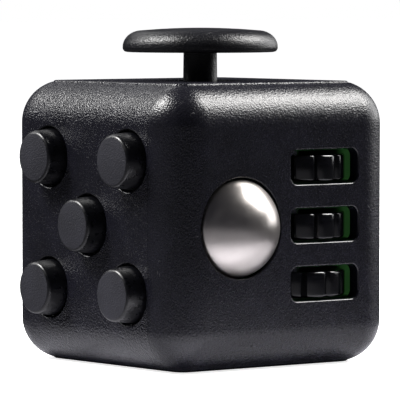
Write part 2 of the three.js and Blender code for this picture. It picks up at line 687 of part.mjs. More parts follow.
function dial() {
  const { skirt, skirtTop, knob, top, flutes, fluteDepth, shaft } = DIAL;
  const body = turned("y", [
    [DIAL_NECK.bore, DIAL_NECK.from],
    [DIAL_NECK.radius, DIAL_NECK.from],
    [DIAL_NECK.radius, DIAL_NECK.to],
    [shaft, DIAL_NECK.to],
    [shaft, HALF + GAP],
    [skirt, HALF + GAP],
    [skirt, skirtTop - 0.4],
    [skirt - 0.6, skirtTop],
    [0, skirtTop],
    [0, DIAL_NECK.boreEnd],
    [DIAL_NECK.bore, DIAL_NECK.boreEnd],
    [DIAL_NECK.bore, DIAL_NECK.from],
  ], 28);
  const grip = prism("y", flutedCircle(knob, flutes, fluteDepth), skirtTop - 0.3, top);
  const { radius, depth, offset } = DIAL_DIMPLE;
  const dimple = ball(radius).translate([0, top + radius - depth, offset]);
  return body.add(grip).subtract(dimple);
}

function detentWheel() {
  const { radius, notch, notches, from, to } = DETENT;
  const bore = rod("y", DIAL_NECK.radius + RUNNING, from - 1, to + 1);
  return prism("y", flutedCircle(radius, notches, notch), from, to).subtract(bore);
}

// A strip over the detent wheel, with a bump that reaches down to its notches.
function detentLeaf() {
  const { halfLength, thickness, clear, bump } = DETENT_LEAF;
  const low = DETENT.radius + clear;
  return prism("y", outline([
    [low, -halfLength],
    [low, -0.9],
    [low - bump, 0],
    [low, 0.9],
    [low, halfLength],
    [low + thickness, halfLength],
    [low + thickness, 0.9],
    [low + thickness - bump, 0],
    [low + thickness, -0.9],
    [low + thickness, -halfLength],
  ]), DETENT.from, DETENT.to);
}

function spinModule() {
  const screwHead = DETENT.from - SEAM / 2;
  const made = group(
    piece("dial", dial(), BUTTON_PLASTIC),
    piece("dial_detent_wheel", detentWheel(), GREY_PLASTIC),
    piece("dial_screw", screw("y", 3.8, DIAL_SCREW_HEAD), POLISHED_STEEL, [0, screwHead, 0]),
    piece("dial_click_spring", detentLeaf(), SPRING_STEEL),
  );
  made.position.z = MID_Z;
  return made;
}

export default group(
  casingPieces(),
  clickModule(),
  rollModule(),
  glideModule(),
  flipModule(),
  spinModule(),
);
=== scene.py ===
"""A fidget cube on a pale floor. Shapes are worked out in millimetres and stored in metres."""

import json
import math

import bmesh
import bpy
import numpy as np
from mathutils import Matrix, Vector


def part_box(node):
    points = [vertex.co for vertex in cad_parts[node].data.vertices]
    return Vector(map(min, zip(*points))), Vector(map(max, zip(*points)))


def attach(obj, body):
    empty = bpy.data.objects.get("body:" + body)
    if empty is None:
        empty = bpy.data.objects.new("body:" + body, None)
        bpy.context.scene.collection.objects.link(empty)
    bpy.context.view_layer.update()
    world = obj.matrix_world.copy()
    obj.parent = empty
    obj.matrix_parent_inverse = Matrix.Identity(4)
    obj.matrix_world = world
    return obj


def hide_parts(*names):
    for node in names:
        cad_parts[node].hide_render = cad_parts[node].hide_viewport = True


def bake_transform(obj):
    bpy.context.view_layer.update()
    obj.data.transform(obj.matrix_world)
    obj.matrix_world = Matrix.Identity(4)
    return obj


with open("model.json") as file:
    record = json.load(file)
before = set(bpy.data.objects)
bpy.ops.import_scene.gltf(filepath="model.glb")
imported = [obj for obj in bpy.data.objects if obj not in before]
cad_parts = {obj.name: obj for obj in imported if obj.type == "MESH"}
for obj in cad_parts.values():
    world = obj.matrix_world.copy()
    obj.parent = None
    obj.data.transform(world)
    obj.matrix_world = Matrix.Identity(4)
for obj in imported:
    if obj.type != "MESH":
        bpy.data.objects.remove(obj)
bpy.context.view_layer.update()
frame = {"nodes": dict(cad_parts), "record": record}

MM = 0.001
TAU = 2 * math.pi

# Corners nearer to each other than this, in metres, are one corner.
SAME_CORNER = 1e-8
# A face narrower than this, in metres, is closed up.
SLIVER = 2e-6

# ------------------------------------------------------------------ driving sizes, in millimetres

CUBE = 33.0
HALF = CUBE / 2
MID_Z = HALF
EDGE_RADIUS = 5.0
WALL = 1.5
FRONT_SPLIT_Y = -(HALF - EDGE_RADIUS)
SHELL_SEAM = 0.045

# The covers' corner radius, the gap round them, the round of their edge, and half the width of the
# ledge's opening and of the step that drops through it.
COVER_CORNER = 1.7
COVER_GAP = 0.1
COVER_ROUND = 0.3
LEDGE_HALF = 11.75
COVER_STEP_HALF = 11.6

# Openings: the round on their edge, how deep their cutters go, and their sizes.
LIP = 0.22
CUTTER_DEPTH = 3.0
BUTTON_HOLE = 3.55
DIAL_HOLE = 2.9
DIAL_LIP = 0.2
ROCKER_OPENING = (3.8, 7.5, 1.0)
WHEEL_WINDOW = (2.0, 5.0, 0.95)
STEM_OPENING = 3.7
STEM_FLARE = 0.9
BALL_RADIUS = 6.0
BALL_SEAT = 6.3
BALL_LIP = 0.16
# All openings of a side lie within this distance of its middle.
OPENINGS_REACH = 11.3

WHEEL_RADIUS = 6.15
WHEEL_TEETH = 12
WHEEL_GROOVE = 0.6
WHEEL_DOME = 0.14
WHEEL_DROP = 0.17

DIAL_FLUTES = 24
DIAL_FLUTE_DEPTH = 0.3

# Turned pieces close on a hole of this radius.
PINHOLE = 0.002

# How far the buttons stand past the ends of the CAD's.
BUTTON_EXTRA = 0.25


def span(node, axis):
    """The lowest and highest place of a CAD node along an axis (0, 1 or 2)."""
    low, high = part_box(node)
    return low[axis] / MM, high[axis] / MM


def middle(node):
    low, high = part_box(node)
    return [(a + b) / 2 / MM for a, b in zip(low, high)]


# ------------------------------------------------------------------ mesh tools

# Which world axis a shape's own (u, v, w) go to, where w is the axis that it is built along.
CYCLES = {"x": (2, 0, 1), "y": (1, 2, 0), "z": (0, 1, 2)}


def oriented(points, axis):
    """Points given as (u, v, w) rows, in world order, with w along the axis."""
    points = np.asarray(points, float)
    return points[:, CYCLES[axis]]


def mesh_object(name, points, faces):
    mesh = bpy.data.meshes.new(name)
    mesh.from_pydata((np.asarray(points, float) * MM).tolist(), [], faces)
    made = bpy.data.objects.new(name, mesh)
    bpy.context.scene.collection.objects.link(made)
    face_outwards(made)
    return made


def face_outwards(thing):
    work = bmesh.new()
    work.from_mesh(thing.data)
    bmesh.ops.remove_doubles(work, verts=work.verts, dist=SAME_CORNER)
    bmesh.ops.recalc_face_normals(work, faces=work.faces)
    work.to_mesh(thing.data)
    work.free()


def loft(name, rings, axis="z", centre=(0, 0, 0), closed=False):
    """Joins rings of (u, v, w) points, with a cap on each end unless the rings close on themselves."""
    rings = [np.asarray(ring, float) for ring in rings]
    count = len(rings[0])
    points = oriented(np.concatenate(rings), axis) + np.asarray(centre, float)
    faces = []
    for i in range(len(rings) if closed else len(rings) - 1):
        here = i * count
        there = (i + 1) % len(rings) * count
        for j in range(count):
            k = (j + 1) % count
            faces.append((here + j, here + k, there + k, there + j))
    if not closed:
        faces.append(tuple(range(count))[::-1])
        faces.append(tuple(range((len(rings) - 1) * count, len(rings) * count)))
    return mesh_object(name, points, faces)


def circle(radius, along, segments=96):
    angles = np.arange(segments) * TAU / segments
    return np.stack([radius * np.cos(angles), radius * np.sin(angles), np.full(segments, along)], 1)


def turned(name, profile, axis="z", centre=(0, 0, 0), segments=96, closed=False):
    """A turned piece: the profile is (radius, place along the axis) pairs."""
    rings = [circle(max(radius, 1e-3), along, segments) for radius, along in profile]
    return loft(name, rings, axis, centre, closed)


def rounded_outline(half_u, half_v, radius, steps=8):
    corners = [(1, 1), (-1, 1), (-1, -1), (1, -1)]
    points = []
    for quarter, (su, sv) in enumerate(corners):
        for step in range(steps + 1):
            angle = (quarter + step / steps) * TAU / 4
            points.append((
                su * (half_u - radius) + radius * math.cos(angle),
                sv * (half_v - radius) + radius * math.sin(angle),
            ))
    return points


def ring_at(outline, along):
    return [(u, v, along) for u, v in outline]


def edge_round(radius, steps=5):
    """(inset, depth) pairs round a convex quarter circle, from the side of a piece to its face."""
    angles = [step / steps * TAU / 4 for step in range(steps + 1)]
    return [(radius * (1 - math.cos(a)), radius * (1 - math.sin(a))) for a in angles]


def rounded_box(name, half, radius, steps=8):
    """A cube with round edges and spherical corners, centred on the cube's middle."""
    tangents = [math.tan(TAU / 8 * (i / steps)) for i in range(steps + 1)]
    line = [(-1, -t) for t in reversed(tangents)] + [(1, t) for t in tangents]
    core = half - radius
    points = []
    faces = []
    for axis in "xyz":
        for side in (-1, 1):
            first = len(points)
            for su, tu in line:
                for sv, tv in line:
                    out = np.array([tu, tv, side], float)
                    out /= np.linalg.norm(out)
                    place = np.array([su * core, sv * core, side * core]) + radius * out
                    points.append(place[list(CYCLES[axis])])
            count = len(line)
            for i in range(count - 1):
                for j in range(count - 1):
                    a = first + i * count + j
                    faces.append((a, a + 1, a + count + 1, a + count))
    return mesh_object(name, np.array(points) + [0, 0, MID_Z], faces)


def block(name, low, high):
    corners = [(x, y, z) for z in (low[2], high[2]) for y in (low[1], high[1]) for x in (low[0], high[0])]
    faces = [(0, 1, 3, 2), (4, 6, 7, 5), (0, 4, 5, 1), (2, 3, 7, 6), (0, 2, 6, 4), (1, 5, 7, 3)]
    return mesh_object(name, corners, faces)


def round_ball(name, radii, centre, steps=14):
    """A sphere or ellipsoid of near-square faces."""
    tangents = [math.tan(TAU / 8 * (i / steps)) for i in range(-steps, steps + 1)]
    points = []
    faces = []
    count = len(tangents)
    for axis in "xyz":
        for side in (-1, 1):
            first = len(points)
            for tu in tangents:
                for tv in tangents:
                    out = np.array([tu, tv, side], float)
                    out /= np.linalg.norm(out)
                    points.append(out[list(CYCLES[axis])] * radii + centre)
            for i in range(count - 1):
                for j in range(count - 1):
                    a = first + i * count + j
                    faces.append((a, a + 1, a + count + 1, a + count))
    return mesh_object(name, points, faces)


def combine(target, tool, operation="DIFFERENCE"):
    """Applies a boolean to the target's mesh, and does away with the tool."""
    step = target.modifiers.new("combine", "BOOLEAN")
    step.object = tool
    step.operation = operation
    step.solver = "MANIFOLD"
    bpy.context.view_layer.update()
    mesh = bpy.data.meshes.new_from_object(target.evaluated_get(bpy.context.evaluated_depsgraph_get()))
    target.modifiers.clear()
    old = target.data
    target.data = mesh
    bpy.data.meshes.remove(old)
    bpy.data.objects.remove(tool)
    return target


def cut(target, *tools):
    for tool in tools:
        combine(target, tool)
    return target


def without_slivers(thing):
    """Splits the faces that booleans leave with many corners, and closes up those of no width."""
    work = bmesh.new()
    work.from_mesh(thing.data)
    bmesh.ops.remove_doubles(work, verts=work.verts, dist=SLIVER)
    many_sided = [face for face in work.faces if len(face.verts) > 4]
    bmesh.ops.triangulate(work, faces=many_sided, ngon_method="BEAUTY")
    bmesh.ops.dissolve_degenerate(work, edges=work.edges, dist=SLIVER)
    work.to_mesh(thing.data)
    work.free()
    return thing


def copy_of(thing, name):
    made = thing.copy()
    made.data = thing.data.copy()
    made.name = name
    bpy.context.scene.collection.objects.link(made)
    return made


def smooth(thing, sharp_degrees=32):
    """Shades smooth, keeps edges over the angle sharp, and lets the large faces set the normals.

    With an angle of 180 nothing is sharp and every normal is the average of its faces.
    """
    work = bmesh.new()
    work.from_mesh(thing.data)
    for face in work.faces:
        face.smooth = True
    for edge in work.edges:
        edge.smooth = edge.is_manifold and edge.calc_face_angle(0) < math.radians(sharp_degrees)
    work.to_mesh(thing.data)
    work.free()
    if sharp_degrees < 180:
        step = thing.modifiers.new("normals", "WEIGHTED_NORMAL")
        step.keep_sharp = True
        step.weight = 100
    return thing


def finished(thing, material, slot, body, *nodes, sharp_degrees=32, rim=None, rim_material=None):
    """Gives a piece its material, shades it and ties it to the CAD body and nodes that it stands for.

    rim(place, normal) tells which faces belong to the polished edge of an opening. A piece that is
    held between two bodies comes with no body.
    """
    thing.data.materials.clear()
    thing.data.materials.append(material)
    if rim is not None:
        thing.data.materials.append(rim_material or POLISHED)
        for face in thing.data.polygons:
            if rim(face.center / MM, face.normal):
                face.material_index = 1
    smooth(thing, sharp_degrees)
    if body is not None:
        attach(thing, body)
    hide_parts(*nodes)
    return thing


# ------------------------------------------------------------------ materials

def new_material(name):
    material = bpy.data.materials.new(name)
    material.use_nodes = True
    tree = material.node_tree
    return material, tree, tree.nodes["Principled BSDF"]


def node(tree, kind, **values):
    made = tree.nodes.new(kind)
    for key, value in values.items():
        if hasattr(made, key):
            setattr(made, key, value)
        else:
            made.inputs[key.replace("_", " ")].default_value = value
    return made


def noise(tree, per_mm, detail=3.0, roughness=0.55):
    """Noise in the piece's own space, with that many features to a millimetre."""
    place = node(tree, "ShaderNodeTexCoord")
    made = node(tree, "ShaderNodeTexNoise", Scale=per_mm / MM, Detail=detail, Roughness=roughness)
    tree.links.new(place.outputs["Object"], made.inputs["Vector"])
    return made.outputs["Fac"]


def ramp(tree, factor, low, high, start=0.35, end=0.65):
    """A colour or grey that goes from low to high as the factor goes from start to end."""
    made = node(tree, "ShaderNodeValToRGB")
    made.color_ramp.elements[0].position = start
    made.color_ramp.elements[1].position = end
    made.color_ramp.elements[0].color = low if hasattr(low, "__len__") else (low, low, low, 1)
    made.color_ramp.elements[1].color = high if hasattr(high, "__len__") else (high, high, high, 1)
    tree.links.new(factor, made.inputs["Fac"])
    return made.outputs["Color"]


def bump(tree, height, depth_mm, under=None):
    made = node(tree, "ShaderNodeBump", Strength=1.0, Distance=depth_mm * MM)
    tree.links.new(height, made.inputs["Height"])
    if under is not None:
        tree.links.new(under, made.inputs["Normal"])
    return made.outputs["Normal"]


def pebbles(tree, per_mm):
    """Small rounded pebbles, that many to a millimetre."""
    place = node(tree, "ShaderNodeTexCoord")
    made = node(tree, "ShaderNodeTexVoronoi", feature="SMOOTH_F1", Scale=per_mm / MM, Smoothness=0.7)
    tree.links.new(place.outputs["Object"], made.inputs["Vector"])
    return made.outputs["Distance"]


def scratches(tree):
    """A few long fine scratches: 1 on a scratch and 0 elsewhere."""
    angle = 0.6
    place = node(tree, "ShaderNodeTexCoord")
    turn = node(tree, "ShaderNodeMapping")
    turn.inputs["Rotation"].default_value = (angle, angle * 0.7, angle * 1.3)
    turn.inputs["Scale"].default_value = (120, 2600, 900)
    tree.links.new(place.outputs["Object"], turn.inputs["Vector"])
    made = node(tree, "ShaderNodeTexNoise", Scale=1.0, Detail=1.0)
    tree.links.new(turn.outputs["Vector"], made.inputs["Vector"])
    return ramp(tree, made.outputs["Fac"], 0, 1, 0.735, 0.75)


def grained_plastic(name, colour, roughness, grain_mm=0.03):
    """Moulded plastic with the fine leathery grain of a spark-eroded tool."""
    grain_per_mm, spread, scratch_mm = 5.2, 0.05, 0.02
    material, tree, shader = new_material(name)
    dark = tuple(channel * 0.8 for channel in colour) + (1,)
    light = tuple(channel * 1.2 for channel in colour) + (1,)
    cloud = noise(tree, 0.25, 4)
    tree.links.new(ramp(tree, cloud, dark, light), shader.inputs["Base Color"])
    grain = noise(tree, grain_per_mm, 2, 0.6)
    matt = ramp(tree, grain, roughness - spread, roughness + spread)
    tree.links.new(matt, shader.inputs["Roughness"])
    coarse = bump(tree, pebbles(tree, grain_per_mm), grain_mm)
    fine = bump(tree, grain, grain_mm * 0.4, under=coarse)
    scored = bump(tree, scratches(tree), scratch_mm, under=fine)
    tree.links.new(scored, shader.inputs["Normal"])
    shader.inputs["Specular IOR Level"].default_value = 0.42
    return material


def gloss_plastic(name, colour, roughness):
    """Smooth plastic with faint rubbing marks in its gloss."""
    material, tree, shader = new_material(name)
    dark = tuple(channel * 0.85 for channel in colour) + (1,)
    light = tuple(channel * 1.15 for channel in colour) + (1,)
    cloud = noise(tree, 0.4, 4)
    tree.links.new(ramp(tree, cloud, dark, light), shader.inputs["Base Color"])
    rub = noise(tree, 1.5, 5, 0.7)
    tree.links.new(ramp(tree, rub, roughness * 0.8, roughness * 1.3), shader.inputs["Roughness"])
    tree.links.new(bump(tree, noise(tree, 6, 2), 0.002), shader.inputs["Normal"])
    return material


def paint_glow(material, colour):
    """Painted light: a faint emission glow painted on the moulding at its end beyond the wheels, standing
    in for light on the pocket's wall there.
    """
    tree = material.node_tree
    shader = tree.nodes["Principled BSDF"]
    place = node(tree, "ShaderNodeTexCoord")
    apart = node(tree, "ShaderNodeSeparateXYZ")
    tree.links.new(place.outputs["Object"], apart.inputs[0])
    both = node(tree, "ShaderNodeMath", operation="MULTIPLY")
    limits = (("X", 10.4, 12.4, 0.036), ("Y", -10, -12, 1))
    for entry, (axis, start, end, top) in enumerate(limits):
        strength = node(tree, "ShaderNodeMapRange", interpolation_type="SMOOTHSTEP")
        tree.links.new(apart.outputs[axis], strength.inputs["Value"])
        strength.inputs["From Min"].default_value = start * MM
        strength.inputs["From Max"].default_value = end * MM
        strength.inputs["To Max"].default_value = top
        tree.links.new(strength.outputs["Result"], both.inputs[entry])
    tree.links.new(both.outputs[0], shader.inputs["Emission Strength"])
    shader.inputs["Emission Color"].default_value = colour


def steel(name, colour, roughness, wear=0.5, ripple_mm=0.0008):
    """Steel whose roughness drifts by that share (wear) from place to place."""
    material, tree, shader = new_material(name)
    dark = tuple(channel * 0.94 for channel in colour) + (1,)
    cloud = noise(tree, 0.5, 3)
    tree.links.new(ramp(tree, cloud, dark, tuple(colour) + (1,)), shader.inputs["Base Color"])
    haze = noise(tree, 1.2, 3)
    matt = ramp(tree, haze, roughness * (1 - wear), roughness * (1 + wear))
    tree.links.new(matt, shader.inputs["Roughness"])
    if ripple_mm:
        tree.links.new(bump(tree, noise(tree, 5, 2), ripple_mm), shader.inputs["Normal"])
    shader.inputs["Metallic"].default_value = 1.0
    return material


SHELL = grained_plastic("shell_plastic", (0.0082, 0.0081, 0.0128), 0.245, grain_mm=0.07)
FRONT = grained_plastic("roll_face_plastic", (0.0082, 0.0081, 0.0125), 0.265, grain_mm=0.036)
# Painted light: the button plastic's colour is raised so the button faces read as lit; their sides take a
# darker copy, painted shade.
BUTTON = grained_plastic("button_plastic", (0.021, 0.021, 0.028), 0.5, grain_mm=0.042)
CONTROL = grained_plastic("control_plastic", (0.005, 0.0052, 0.0075), 0.34, grain_mm=0.03)
RUBBER = grained_plastic("joystick_rubber", (0.0035, 0.0036, 0.0055), 0.34, grain_mm=0.045)
POLISHED = gloss_plastic("polished_edge", (0.004, 0.0041, 0.007), 0.18)
# Painted shade: a darker copy of the button plastic for the buttons' sides.
SHADED_BUTTON_SIDE = gloss_plastic("shaded_button_side_plastic", (0.002, 0.0021, 0.0035), 0.3)
WHEEL = gloss_plastic("wheel_plastic", (0.0025, 0.0026, 0.0035), 0.13)
GREEN = gloss_plastic("green_plastic", (0.04, 0.2, 0.046), 0.36)
# Painted light: the green moulding glows near the wheels' windows.
paint_glow(GREEN, (0.22, 0.75, 0.2, 1))
GREY = grained_plastic("inner_plastic", (0.07, 0.074, 0.08), 0.5)
BALL_STEEL = steel("ball_steel", (0.515, 0.482, 0.46), 0.31, wear=0.05, ripple_mm=0)
ZINC = steel("zinc_steel", (0.6, 0.61, 0.63), 0.32)
WIRE = steel("spring_wire", (0.42, 0.43, 0.45), 0.35)

# ------------------------------------------------------------------ casing


def lipped_hole(name, outline_of, face, inwards, axis, centre, lip=LIP):
    """A cutter for a hole whose edge is rounded over. outline_of(grown) gives the outline."""
    rings = [ring_at(outline_of(lip), face - inwards)]
    for inset, below in reversed(edge_round(lip)):
        rings.append(ring_at(outline_of(inset), face + inwards * below))
    rings.append(ring_at(outline_of(0), face + inwards * CUTTER_DEPTH))
    return loft(name, rings, axis, centre)


def round_outline(radius):
    return lambda grown: [tuple(point[:2]) for point in circle(radius + grown, 0)]


def slot_outline(half_u, half_v, corner):
    return lambda grown: rounded_outline(half_u + grown, half_v + grown, corner + grown)


def cover_pockets(shell):
    """Cuts the recesses for the covers, and their openings with a ledge round them."""
    cover_half = span("top_cover", 0)[1] + COVER_GAP
    for outside, inwards in ((CUBE, -1), (0, 1)):
        rim = rounded_outline(cover_half, cover_half, COVER_CORNER + COVER_GAP)
        ledge = rounded_outline(LEDGE_HALF, LEDGE_HALF, COVER_CORNER)
        beyond = outside - inwards
        cut(
            shell,
            loft("rim", [ring_at(rim, beyond), ring_at(rim, outside + inwards * 1.3)]),
            loft("ledge", [ring_at(ledge, beyond), ring_at(ledge, outside + inwards * 4)]),
        )


BALL_PLACE = middle("ball")


def ball_seat():
    """A cutter for the hole that holds the ball: a sphere whose edge at the face is rounded over."""
    x, y, _ = BALL_PLACE
    profile = [(BALL_SEAT + 0.3, -HALF - 1)]
    throat = -HALF + BALL_LIP
    throat_radius = math.sqrt(BALL_SEAT ** 2 - (throat - y) ** 2)
    for inset, depth in reversed(edge_round(BALL_LIP)):
        profile.append((throat_radius + inset, -HALF + depth))
    start = math.acos((y - throat) / BALL_SEAT)
    for step in range(1, 25):
        a = start + (math.pi - start) * step / 24
        profile.append((BALL_SEAT * math.sin(a), y - BALL_SEAT * math.cos(a)))
    return turned("seat", profile, "y", (x, 0, MID_Z))


# A face whose normal has less than this of a wall's direction isn't part of the wall's flat.
FLAT = 0.98


def in_side_opening(place, normal):
    """Edges of the button holes, the rocker's opening and the dial's hole."""
    if abs(place.z - MID_Z) > OPENINGS_REACH:
        return False
    in_x_wall = abs(place.x) > HALF - WALL and abs(place.y) < OPENINGS_REACH
    in_y_wall = place.y > HALF - WALL and abs(place.x) < OPENINGS_REACH
    return in_x_wall and abs(normal.x) < FLAT or in_y_wall and abs(normal.y) < FLAT


def in_roll_opening(place, normal):
    """Edges of the ball's hole and of the wheels' windows."""
    across, up = place.x - BALL_PLACE[0], place.z - BALL_PLACE[2]
    in_ball_hole = math.hypot(across, up) < BALL_SEAT and across * normal.x + up * normal.z < 0
    in_windows = 0 < place.x < 11.2 and abs(place.z - MID_Z) < 11
    return place.y < -HALF + WALL and (in_ball_hole or in_windows) and abs(normal.y) < FLAT


def make_casing():
    """The two shells: a hollow rounded cube, split beside the roll face, with its openings."""
    main = rounded_box("main_shell_piece", HALF, EDGE_RADIUS)
    cut(main, rounded_box("hollow", HALF - WALL, EDGE_RADIUS - WALL, 4))
    cover_pockets(main)
    front = copy_of(main, "front_shell_piece")
    far = CUBE + 5
    front_end = FRONT_SPLIT_Y - SHELL_SEAM / 2
    main_end = FRONT_SPLIT_Y + SHELL_SEAM / 2
    combine(front, block("keep", (-far, -far, -5), (far, front_end, far)), "INTERSECT")
    combine(main, block("keep", (-far, main_end, -5), (far, far, far)), "INTERSECT")

    window_x = middle("wheel_middle")[0]
    for node_name in ("wheel_top", "wheel_middle", "wheel_bottom"):
        centre = (window_x, 0, middle(node_name)[2])
        cut(front, lipped_hole("window", slot_outline(*WHEEL_WINDOW), -HALF, 1, "y", centre))
    cut(front, ball_seat())

    for place in BUTTON_PLACES:
        _, y, z = middle("button_" + place)
        cut(main, lipped_hole("hole", round_outline(BUTTON_HOLE), -HALF, 1, "x", (0, y, z)))
    centre = (0, 0, MID_Z)
    cut(main, lipped_hole("dial_hole", round_outline(DIAL_HOLE), HALF, -1, "y", centre, DIAL_LIP))
    cut(main, lipped_hole("rocker_hole", slot_outline(*ROCKER_OPENING), HALF, -1, "x", centre))
    finished(main, SHELL, "shell", "case", "main_shell", rim=in_side_opening)
    finished(front, FRONT, "shell", "case", "front_shell", rim=in_roll_opening)


def cover_blank(name, outside, inwards):
    """A flat plate with a rounded edge, and the step that drops through the shell's ledge."""
    half = span("top_cover", 0)[1]
    step = rounded_outline(COVER_STEP_HALF, COVER_STEP_HALF, COVER_CORNER)
    thickness, step_depth = 1.1, 2.1
    rings = [ring_at(step, outside + inwards * step_depth), ring_at(step, outside + inwards * thickness)]
    rings.append(ring_at(rounded_outline(half, half, COVER_CORNER), outside + inwards * thickness))
    for inset, below in edge_round(COVER_ROUND):
        outline = rounded_outline(half - inset, half - inset, COVER_CORNER - inset)
        rings.append(ring_at(outline, outside + inwards * below))
    return loft(name, rings)


def make_covers():
    top = cover_blank("top_cover_piece", CUBE, -1)
    widest = STEM_OPENING + STEM_FLARE
    opening = [(widest, CUBE + 1), (widest, CUBE)]
    for step in range(1, 7):
        a = TAU / 4 * step / 6
        radius = STEM_OPENING + STEM_FLARE * (1 - math.sin(a))
        opening.append((radius, CUBE - STEM_FLARE * (1 - math.cos(a))))
    opening.append((STEM_OPENING, CUBE - 4))
    cut(top, turned("opening", opening))
    finished(top, SHELL, "shell", "case", "top_cover")
    bottom = cover_blank("bottom_cover_piece", 0, 1)
    cut(bottom, round_ball("dish", (13, 9.6, 4.4), (0, 0, -3), 20))
    finished(bottom, SHELL, "shell", "case", "bottom_cover")


# ------------------------------------------------------------------ buttons

BUTTON_PLACES = ("centre", "top_front", "top_back", "bottom_front", "bottom_back")


def is_side(_, normal):
    """A button's side and the round of its rim: all that doesn't face along its axis. These faces take
    the darker copy of the button plastic, painted shade.
    """
    return abs(normal.x) < 0.97


def make_buttons():
    for place in BUTTON_PLACES:
        name = "button_" + place
        front, back = span(name, 0)
        front -= BUTTON_EXTRA
        _, y, z = middle(name)
        flange = back - 0.8
        hollow_end = front + 1.6
        face_radius, root_radius, corner = 3.04, 3.3, 0.4
        flange_radius, hollow_radius = 4.3, 2.4
        profile = [(PINHOLE, front)]
        for inset, depth in reversed(edge_round(corner, 6)):
            profile.append((face_radius - inset, front + depth))
        profile += [(root_radius - 0.03, -HALF), (root_radius, flange), (flange_radius, flange)]
        profile += [(flange_radius, back), (hollow_radius, back)]
        profile += [(hollow_radius, hollow_end), (PINHOLE, hollow_end)]
        made = turned(name + "_piece", profile, "x", (0, y, z))
        finished(made, BUTTON, "buttons", name, name, rim=is_side, rim_material=SHADED_BUTTON_SIDE)


# ------------------------------------------------------------------ ball and wheels


def make_ball():
    made = round_ball("ball_piece", (BALL_RADIUS,) * 3, BALL_PLACE, 32)
    finished(made, BALL_STEEL, "ball_steel", "ball", "ball", sharp_degrees=180)


def wheel_radius(angle):
    """The wheel's edge at an angle: wide teeth, slightly domed, and narrow V grooves at angle 0."""
    step = TAU / WHEEL_TEETH
    off = abs((angle + step / 2) % step - step / 2) / (step / 2)
    groove = 0.25
    if off < groove:
        return WHEEL_RADIUS - WHEEL_GROOVE + (WHEEL_GROOVE - WHEEL_DOME) * (off / groove)
    return WHEEL_RADIUS - WHEEL_DOME * ((1 - off) / (1 - groove)) ** 4


def make_wheel(place, turned_by):
    name = "wheel_" + place
    low, high = (level - WHEEL_DROP for level in span(name, 2))
    x, y, _ = middle("wheel_axle")
    per_tooth, bevel, bore = 40, 0.3, 0.9
    count = WHEEL_TEETH * per_tooth
    angles = [i * TAU / count for i in range(count)]

    def ring(inset, along):
        points = []
        for angle in angles:
            reach = wheel_radius(angle) - inset
            place_on_rim = angle + turned_by
            points.append((reach * math.cos(place_on_rim), reach * math.sin(place_on_rim), along))
        return points

    rings = [ring(inset, low + depth) for inset, depth in reversed(edge_round(bevel, 4))]
    rings += [ring(inset, high - depth) for inset, depth in edge_round(bevel, 4)]
    made = loft(name + "_piece", rings, centre=(x, y, 0))
    cut(made, turned("bore", [(bore, low - 1), (bore, high + 1)], centre=(x, y, 0), segments=40))
    finished(made, WHEEL, "wheels", name, name)


def make_wheels():
    """The lowest wheel stands half a tooth round from the other two."""
    front = -TAU / 4 + math.radians(4)
    half_pitch = TAU / WHEEL_TEETH / 2
    make_wheel("top", front + half_pitch)
    make_wheel("middle", front + half_pitch)
    make_wheel("bottom", front)


def make_housing():
    """The green moulding: a block with three round pockets, two ears and the ball spring's plate."""
    x, y, _ = middle("wheel_axle")
    axis = (x, y, 0)
    low, high, front, outer, pocket = 7.0, 26.0, -14.7, 7.7, 6.9
    pocket_half, bore = 1.8, 0.9
    made = turned("roll_housing_piece", [(outer, low), (outer, high)], centre=axis)
    combine(made, block("keep", (-CUBE, front, 0), (CUBE, CUBE, CUBE)), "INTERSECT")
    combine(made, block("jaw", (x - outer, front, low), (x + outer - 0.5, y, high)), "UNION")
    ball_x, ball_y, _ = BALL_PLACE
    plate = block("plate", (ball_x - 3, -4, MID_Z - 3), (x, -2.8, MID_Z + 3))
    combine(made, plate, "UNION")
    for side in (-1, 1):
        screw_z = MID_Z + side * 11.7
        ends = sorted((screw_z - side * 3, screw_z + side * 1.7))
        ear = block("ear", (x - 1.7, -12, ends[0]), (x + 1.7, -10.8, ends[1]))
        combine(made, ear, "UNION")
        cut(made, turned("hole", [(0.95, -13), (0.95, -10.3)], "y", (x, 0, screw_z), 32))
    for place in ("top", "middle", "bottom"):
        z = middle("wheel_" + place)[2]
        bottom, top = z - pocket_half, z + pocket_half
        cut(made, turned("pocket", [(pocket, bottom), (pocket, top)], centre=axis, segments=128))
        cut(made, block("mouth", (x - pocket, front - 1, bottom), (x + pocket, y, top)))
    cut(made, turned("axle_bore", [(bore, low - 1), (bore, high + 1)], centre=axis, segments=32))
    for pressed in (0, 1.2):
        cut(made, round_ball("room", (6.5,) * 3, (ball_x, ball_y + pressed, MID_Z), 12))
    finished(without_slivers(made), GREEN, "green_housing", "case", "roll_housing")


# ------------------------------------------------------------------ joystick


def make_joystick_cap():
    """The disc: a domed top, a round shoulder, a crease near the bottom and a rounded lower edge."""
    bottom, top = span("joystick_cap", 2)
    radius = span("joystick_cap", 0)[1]
    dome, shoulder, crown, underside_round = 0.3, 2.3, 1.95, 0.5
    socket_radius, socket_top = 2.05, bottom + 1.6
    flat = radius - shoulder
    dome_steps = 6
    profile = [(PINHOLE, socket_top), (socket_radius, socket_top), (socket_radius, bottom)]
    for a in (0, 0.4, 0.8, 1.2, TAU / 4):
        reach = radius - underside_round + underside_round * math.sin(a)
        profile.append((reach, bottom + underside_round - underside_round * math.cos(a)))
    crease = [(0, 0.58), (0.09, 0.64), (0.01, 0.72)]
    profile += [(radius - inset, bottom + height) for inset, height in crease]
    for inset, depth in edge_round(1, 14):
        profile.append((radius - shoulder * inset, top - dome - crown * depth))
    for step in range(1, dome_steps):
        outwards = 1 - step / dome_steps
        profile.append((flat * outwards, top - dome * outwards ** 2))
    profile.append((PINHOLE, top))
    cap = turned("joystick_cap_piece", profile, segments=160)
    finished(cap, RUBBER, "rubber", "joystick", "joystick_cap")


